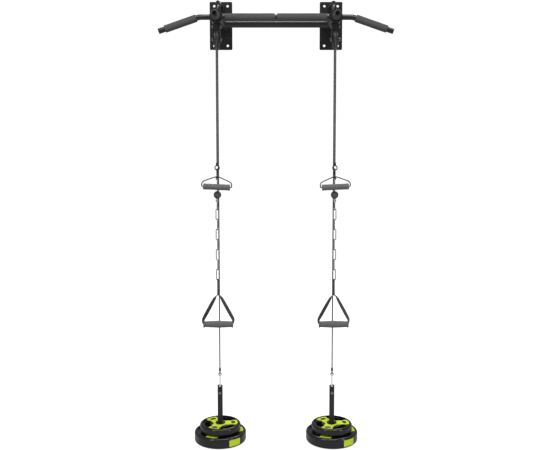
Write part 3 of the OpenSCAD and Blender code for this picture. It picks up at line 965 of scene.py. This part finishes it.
    def brace_foot(self, x: float) -> list[Vector]:
        """Find the line where the brace comes down on the arm.

        Args:
            x: The arm's middle.

        Returns:
            Points of the line.
        """
        path = []
        for a in angles(self.bead_steps):
            off = self.tube_r * math.cos(a)
            height = math.sqrt(self.arm_r ** 2 - off ** 2)
            path.append(Vector((x + off, self.brace_y + self.tube_r * math.sin(a), height)))
        return path

    def bead(self, shape: Shape, path: Sequence[Vector], radius: float) -> None:
        """Add one weld bead along a closed path.

        Args:
            shape: The mesh that it joins.
            path: The joint's line.
            radius: The bead's radius.
        """
        side = (path[0] - path[len(path) // 2]).cross(path[1] - path[0])
        ripples = self.bead_steps // 3

        def ripple(t: float) -> tuple[float, float]:
            """Return the bead's scale at a part of the way round."""
            scale = 1 + self.bead_ripple * math.sin(TURN * ripples * t)
            return scale, scale

        shape.sweep(path, circle(radius, 8), side, closed=True, size=ripple)


@dataclass
class CableRun:
    """One side's coated cable: the handle strand, the turn over the wheel and the weight strand."""

    side: int
    name: str
    arm_x: float = ARM_X
    axle_y: float = AXLE_Y
    axle_z: float = -96.0
    wrap_r: float = WRAP_R
    wrap_steps: int = 32
    cable_r: float = 3.0
    front_end: float = -653.0
    rear_end: float = -1636.5

    def build(self) -> None:
        """Make the three stretches of cable."""
        x = self.side * self.arm_x
        front = Vector((x, self.axle_y - self.wrap_r, self.axle_z))
        rear = Vector((x, self.axle_y + self.wrap_r, self.axle_z))
        self.strand("handle_strand", "cable_front", front, self.front_end, 56)
        self.strand("weight_strand", "cable_rear", rear, self.rear_end, 120)
        self.turn(x)

    def turn(self, x: float) -> None:
        """Lay the cable over the top of the wheel, from front to back.

        Args:
            x: The wheel's middle.
        """
        radius = self.wrap_r
        arc = []
        for k in range(self.wrap_steps + 1):
            a = math.pi * k / self.wrap_steps
            arc.append(Vector((x, self.axle_y - radius * math.cos(a), self.axle_z + radius * math.sin(a))))
        shape = Shape()
        shape.sweep(arc, circle(self.cable_r), Vector((1, 0, 0)))
        turn = shape.piece(f"{self.name}_cable_over_wheel", "frame", "cable", CABLE)
        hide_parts(f"{self.name}_cable_wrap")

    def strand(self, label: str, node: str, top: Vector, low: float,
               rings: int) -> None:
        """Make one straight strand, left on no body.

        Args:
            label: The end of the piece's name.
            node: The end of the name of the CAD node that it stands for.
            top: The strand's upper end.
            low: The height of its lower end.
            rings: How many sections it has.
        """
        foot = Vector((top.x, top.y, low))
        path = [top.lerp(foot, k / rings) for k in range(rings + 1)]
        shape = Shape()
        shape.sweep(path, circle(self.cable_r), Vector((1, 0, 0)))
        piece = shape.piece(f"{self.name}_{label}", "", "cable", CABLE)
        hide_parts(f"{self.name}_{node}")
        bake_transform(piece)


@dataclass
class UpperHandle:
    """One side's bail, its ribbed grip and the stopper ball."""

    side: int
    name: str
    arm_x: float = ARM_X
    pivot: tuple[float, float] = (-325.15, -717.39)
    lean: float = math.radians(12)
    cant: float = math.radians(2.6)
    height: float = 46.0
    half: float = 68.0
    wire_r: float = 2.5
    wire_bend: float = 5.0
    grip_l: float = 122.0
    grip_r: float = 14.0
    grip_end: float = 9.0
    rib_pitch: float = 4.0
    ball_y: float = STEM_Y
    ball_z: float = -799.77
    ball_r: float = 17.5
    ball_bore: float = 2.62
    seam: float = 0.25

    def build(self) -> None:
        """Make the bail, the grip and the ball."""
        self.bail()
        self.grip()
        self.ball()

    def place(self) -> Matrix:
        """Return the bail's own frame, with its pivot at the origin."""
        at = Matrix.Translation((self.side * self.arm_x, *self.pivot))
        return at @ Matrix.Rotation(-self.side * self.cant, 4, "Y") @ Matrix.Rotation(-self.lean, 4, "X")

    def bail(self) -> None:
        """Bend the wire up from both ends of the grip to the hook."""
        right = [(9, 0), (58, -20), (66, -26), (self.half, -32), (self.half, -self.height)]
        corners = [Vector((x, 0, z)) for x, z in right] + [Vector((-x, 0, z)) for x, z in reversed(right)]
        place = self.place()
        path = [place @ point for point in rounded(corners, self.wire_bend, closed=True)]
        shape = Shape()
        shape.sweep(path, circle(self.wire_r, 18), place.to_3x3() @ Vector((0, 1, 0)), closed=True)
        body = f"{self.name}_bail"
        wire = shape.piece(f"{self.name}_bail_wire", body, "black_fitting", BLACK_FITTING, smooth=80.0)
        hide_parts(f"{self.name}_bail")

    def grip(self) -> None:
        """Turn the grip, with fine ribs between two plain ends."""
        half = self.grip_l / 2
        radius = self.grip_r
        ribbed = self.grip_l - 2 * self.grip_end
        count = round(ribbed / self.rib_pitch)
        step = ribbed / count
        outer = [(radius - 1.6, -half), (radius - 0.5, -half + 0.5), (radius, -half + 1.6),
                 (radius, -half + self.grip_end - 1.5)]
        for i in range(count):
            low = -half + self.grip_end + i * step
            for part, deep in ((0.1, 1.1), (0.3, 1.1), (0.45, 0.2), (0.85, 0.2)):
                outer.append((radius - deep, low + part * step))
        outer += [(r, -h) for r, h in reversed(outer[:4])]
        bore = self.wire_r + 0.05
        profile = [(bore, -half + 1.2), (bore + 1.4, -half), *outer, (bore + 1.4, half), (bore, half - 1.2)]
        shape = Shape()
        place = self.place() @ Matrix.Translation((0, 0, -self.height)) @ Matrix.Rotation(math.pi / 2, 4, "Y")
        shape.lathe(profile, place, ring=True)
        body = f"{self.name}_bail_grip"
        grip = shape.piece(f"{self.name}_ribbed_grip", body, "grip_rubber", GRIP_RUBBER, smooth=60.0)
        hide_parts(f"{self.name}_bail_grip")

    def ball(self) -> None:
        """Turn the stopper ball, with its moulding seam and tapered foot."""
        low, high = math.radians(-50), math.radians(82)
        steps = 24
        mouth = self.ball_bore + 1.6
        profile = [(self.ball_bore, -17.5), (6.9, -17.6), (7.5, -17.0), (8.6, -15.4)]
        for k in range(steps + 1):
            a = low + (high - low) * k / steps
            r = self.ball_r - (self.seam if abs(a) < 0.06 else 0.0)
            profile.append((r * math.cos(a), r * math.sin(a)))
        profile += [(mouth, math.sqrt(self.ball_r ** 2 - mouth ** 2)), (self.ball_bore, 16.4)]
        shape = Shape()
        place = Matrix.Translation((self.side * self.arm_x, self.ball_y, self.ball_z))
        shape.lathe(profile, place, ring=True)
        body = f"{self.name}_stopper"
        ball = shape.piece(f"{self.name}_ball", body, "ball_rubber", BALL_RUBBER, smooth=50.0)
        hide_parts(f"{self.name}_stopper_ball")


@dataclass
class LowerHandle:
    """One side's webbing stirrup and its barrel grip."""

    side: int
    name: str
    arm_x: float = ARM_X
    y: float = STEM_Y
    link_z: float = -1194.87
    split_z: float = -1262.87
    grip_z: float = -1403.37
    grip_l: float = 138.0
    grip_r: float = 16.5
    grip_taper: float = 3.0
    grip_ring: float = 6.0
    bore_r: float = 11.0
    ribs: int = 26
    rib_deep: float = 0.75
    strap_w: float = 19.0
    strap_t: float = 2.6
    strap_bend: float = 9.0
    strap_step: float = 6.0
    neck_w: float = 9.0
    neck_t: float = 2.4
    eye_r: float = 3.95
    thread_r: float = 0.42
    stitch_half: float = 3.6
    stitch_pitch: float = 1.1

    def build(self) -> None:
        """Make the strap, its stitching and the grip."""
        self.strap()
        self.stitching()
        self.grip()

    def at(self, x: float, z: float, y: float = 0.0) -> Vector:
        """Return a point of the handle, measured from its own middle line."""
        return Vector((self.side * self.arm_x + x, self.y + y, z))

    def strap(self) -> None:
        """Lead the webbing round the link, down both legs and through the grip."""
        shape = Shape(flat_map=True)
        shape.sweep(self.stirrup(), ribbon(self.strap_w, self.strap_t), Vector((0, 1, 0)),
                    turn=self.leg_turn, size=self.leg_size)
        shape.sweep(self.neck(), ribbon(self.neck_w, self.neck_t), Vector((1, 0, 0)), size=self.neck_size)
        strap = shape.piece(f"{self.name}_webbing", f"{self.name}_strap", "webbing", WEBBING, smooth=50.0)
        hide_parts(f"{self.name}_strap")

    def stirrup(self) -> list[Vector]:
        """Lay the webbing's route down one leg, through the grip and up the other.

        Returns:
            Points of the route, close enough together for the twist.
        """
        out = self.grip_l / 2 + 2.1
        top = self.split_z + 2.0
        elbow = self.grip_z + self.grip_r + 4.0
        legs = [self.at(0.4, top), self.at(-12, top - 12), self.at(-out, elbow), self.at(-out, self.grip_z),
                self.at(out, self.grip_z), self.at(out, elbow), self.at(12, top - 12), self.at(-0.4, top)]
        bends = rounded(legs, self.strap_bend, closed=False, steps=8)
        path = []
        for first, last in zip(bends, bends[1:]):
            pieces = max(1, round((last - first).length / self.strap_step))
            path += [first.lerp(last, k / pieces) for k in range(pieces)]
        path.append(legs[-1])
        return path

    def neck(self) -> list[Vector]:
        """Lay the neck's route up the front, over the link and down the back.

        Returns:
            Points of the route.
        """
        front = [(self.split_z - 4, 2.6), (self.split_z + 30, 2.1), (self.link_z - 7, 2.2)]
        path = [self.at(0, z, y) for z, y in front]
        for k in range(13):
            a = math.radians(-30 + 240 * k / 12)
            path.append(self.at(0, self.link_z + self.eye_r * math.sin(a), self.eye_r * math.cos(a)))
        return path + [self.at(0, z, -y) for z, y in reversed(front)]

    @staticmethod
    def leg_turn(t: float) -> float:
        """Twist the webbing, which comes and goes on each leg.

        Args:
            t: The part of the way along.

        Returns:
            The angle that the webbing is turned by.
        """
        leg = min(t, 1 - t) / 0.36
        if leg >= 1:
            return 0.0
        return math.radians(62) * math.sin(math.pi * leg) * (1 if t < 0.5 else -0.75)

    @staticmethod
    def leg_size(t: float) -> tuple[float, float]:
        """Bunch the webbing where the legs meet.

        Args:
            t: The part of the way along.

        Returns:
            The scale of its width and of its thickness.
        """
        leg = min(1.0, min(t, 1 - t) / 0.1)
        ease = leg * leg * (3 - 2 * leg)
        return 0.5 + 0.5 * ease, 1.25 - 0.25 * ease

    @staticmethod
    def neck_size(t: float) -> tuple[float, float]:
        """Return the neck's scale, narrower half-way up."""
        return 1.0 - 0.18 * math.sin(math.pi * min(1.0, 4 * min(t, 1 - t))), 1.0

    def stitching(self) -> None:
        """Sew three bars of thread across the neck, front and back."""
        shape = Shape()
        half = self.stitch_half
        for height in (8.0, 26.0, self.link_z - self.split_z - 16.0):
            for face in (-1, 1):
                for k in range(-3, 4):
                    z = self.split_z + height + k * self.stitch_pitch
                    ends = [self.at(-half, z - 0.35, face * 3.3), self.at(0, z, face * 3.75),
                            self.at(half, z + 0.35, face * 3.3)]
                    stitch = rounded(ends, 3.0, closed=False, steps=3)
                    shape.sweep(stitch, circle(self.thread_r, 6), Vector((0, 1, 0)))
        shape.piece(f"{self.name}_strap_stitching", f"{self.name}_strap", "webbing", THREAD, smooth=80.0)

    def grip(self) -> None:
        """Turn the barrel grip, with shallow ribs and a raised ring at each end."""
        half = self.grip_l / 2
        ring_r = self.grip_r - 0.5
        barrel = half - self.grip_ring
        half_side = [(self.bore_r, half - 1.0), (self.bore_r + 0.8, half), (ring_r - 1.2, half),
                     (ring_r, half - 1.2), (ring_r, barrel + 1.0), (ring_r - 1.0, barrel)]
        ribs = []
        step = 2 * (barrel - 1) / self.ribs
        for i in range(self.ribs):
            low = -barrel + 1 + i * step
            for part, deep in ((0.0, self.rib_deep), (0.22, self.rib_deep), (0.4, 0.0), (0.85, 0.0)):
                h = low + part * step
                ribs.append((self.grip_r - self.grip_taper * abs(h) / half - deep, h))
        profile = [(r, -h) for r, h in half_side] + ribs + list(reversed(half_side))
        shape = Shape()
        place = Matrix.Translation(self.at(0, self.grip_z)) @ Matrix.Rotation(math.pi / 2, 4, "Y")
        shape.lathe(profile, place, ring=True)
        body = f"{self.name}_strap_grip"
        grip = shape.piece(f"{self.name}_barrel_grip", body, "grip_rubber", GRIP_RUBBER, smooth=60.0)
        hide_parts(f"{self.name}_strap_grip")


@dataclass
class WeightPlate:
    """The trim of one plate: marks on the star's arms, the hub's insert and bands on the rim."""

    side: int
    name: str
    diameter: float
    thick: float
    base: float
    marks: bool = True
    arm_x: float = ARM_X
    y: float = PIN_Y
    star_turn: float = 8.0
    star_t: float = 4.0
    recess: float = 7.0
    rim_w: float = 13.0
    hub_bore: float = 13.6
    hub_r: float = 17.5
    hub_deep: float = 3.0
    band_w: float = 1.6
    mark_r: float = 16.0
    mark_in: float = 22.0
    mark_squash: float = 0.62

    def build(self) -> None:
        """Add the trim."""
        center = Matrix.Translation((self.side * self.arm_x, self.y, self.base))
        if self.marks:
            self.ovals(center)
        self.hub_insert(center)
        self.rim_bands(center)

    def hub_insert(self, center: Matrix) -> None:
        """Set the steel ring in the hub.

        Args:
            center: The place of the plate's lower face.
        """
        top = self.thick
        inner, outer = self.hub_bore, self.hub_r
        shape = Shape()
        profile = [(inner, top - self.hub_deep), (outer, top - self.hub_deep), (outer, top + 0.1),
                   (outer - 0.6, top + 0.35), (inner + 0.6, top + 0.35), (inner, top - 0.1)]
        shape.lathe(profile, center, ring=True)
        shape.piece(f"{self.name}_hub_insert", self.name, "black_fitting", BLACK_FITTING)

    def rim_bands(self, center: Matrix) -> None:
        """Raise two bands round the rim's edge and one on its top.

        Args:
            center: The place of the plate's lower face.
        """
        shape = Shape()
        rim = self.diameter / 2
        width = self.band_w
        for low in (self.thick * 0.2, self.thick * 0.8 - width):
            band = [(rim - 1.0, low), (rim + 0.15, low + 0.2), (rim + 0.35, low + width / 2),
                    (rim + 0.15, low + width - 0.2), (rim - 1.0, low + width)]
            shape.lathe(band, center, ring=True, steps=96)
        inner = rim - self.rim_w
        top = self.thick
        bead = [(inner + 2.0, top - 0.8), (inner + 2.2, top + 0.15), (inner + 3.0, top + 0.3),
                (inner + 3.8, top + 0.15), (inner + 4.0, top - 0.8)]
        shape.lathe(bead, center, ring=True, steps=96)
        shape.piece(f"{self.name}_rim_bands", self.name, "plate_black", PLATE_BLACK)

    def ovals(self, center: Matrix) -> None:
        """Add a dark oval pad to each arm of the star.

        Args:
            center: The place of the plate's lower face.
        """
        reach = self.diameter / 2 - self.rim_w - self.mark_in
        z = self.thick - self.recess + self.star_t
        r = self.mark_r
        profile = [(0, -0.5), (r, -0.5), (r, 0.5), (r - 0.6, 0.9), (r - 2.4, 0.9), (r - 3.0, 0.5), (0, 0.5)]
        shape = Shape()
        for i in range(3):
            turn = Matrix.Rotation(math.radians(self.star_turn + 120 * i), 4, "Z")
            squash = Matrix.Diagonal((self.mark_squash, 1, 1, 1))
            shape.lathe(profile, center @ turn @ Matrix.Translation((reach, 0, z)) @ squash)
        shape.piece(f"{self.name}_arm_marks", self.name, "plate_black", PLATE_BLACK)


def build_side(side: int, name: str) -> None:
    """Make everything that hangs from one arm.

    Args:
        side: -1 for left, 1 for right.
        name: The side's name.
    """
    CableRun(side, name).build()
    UpperHandle(side, name).build()
    LowerHandle(side, name).build()
    WeightPlate(side, f"{name}_large_plate", 247.0, 50.0, -1990.0, marks=False).build()
    WeightPlate(side, f"{name}_small_plate", 194.0, 36.0, -1940.0).build()


def main() -> None:
    """Build the looks in order."""
    logging.basicConfig(level=logging.INFO, format="%(name)s: %(message)s")
    Studio().build()
    dress_cad_nodes()
    BarAndBrackets().build()
    for side, name in SIDES:
        build_side(side, name)


if __name__ == "__main__":
    main()
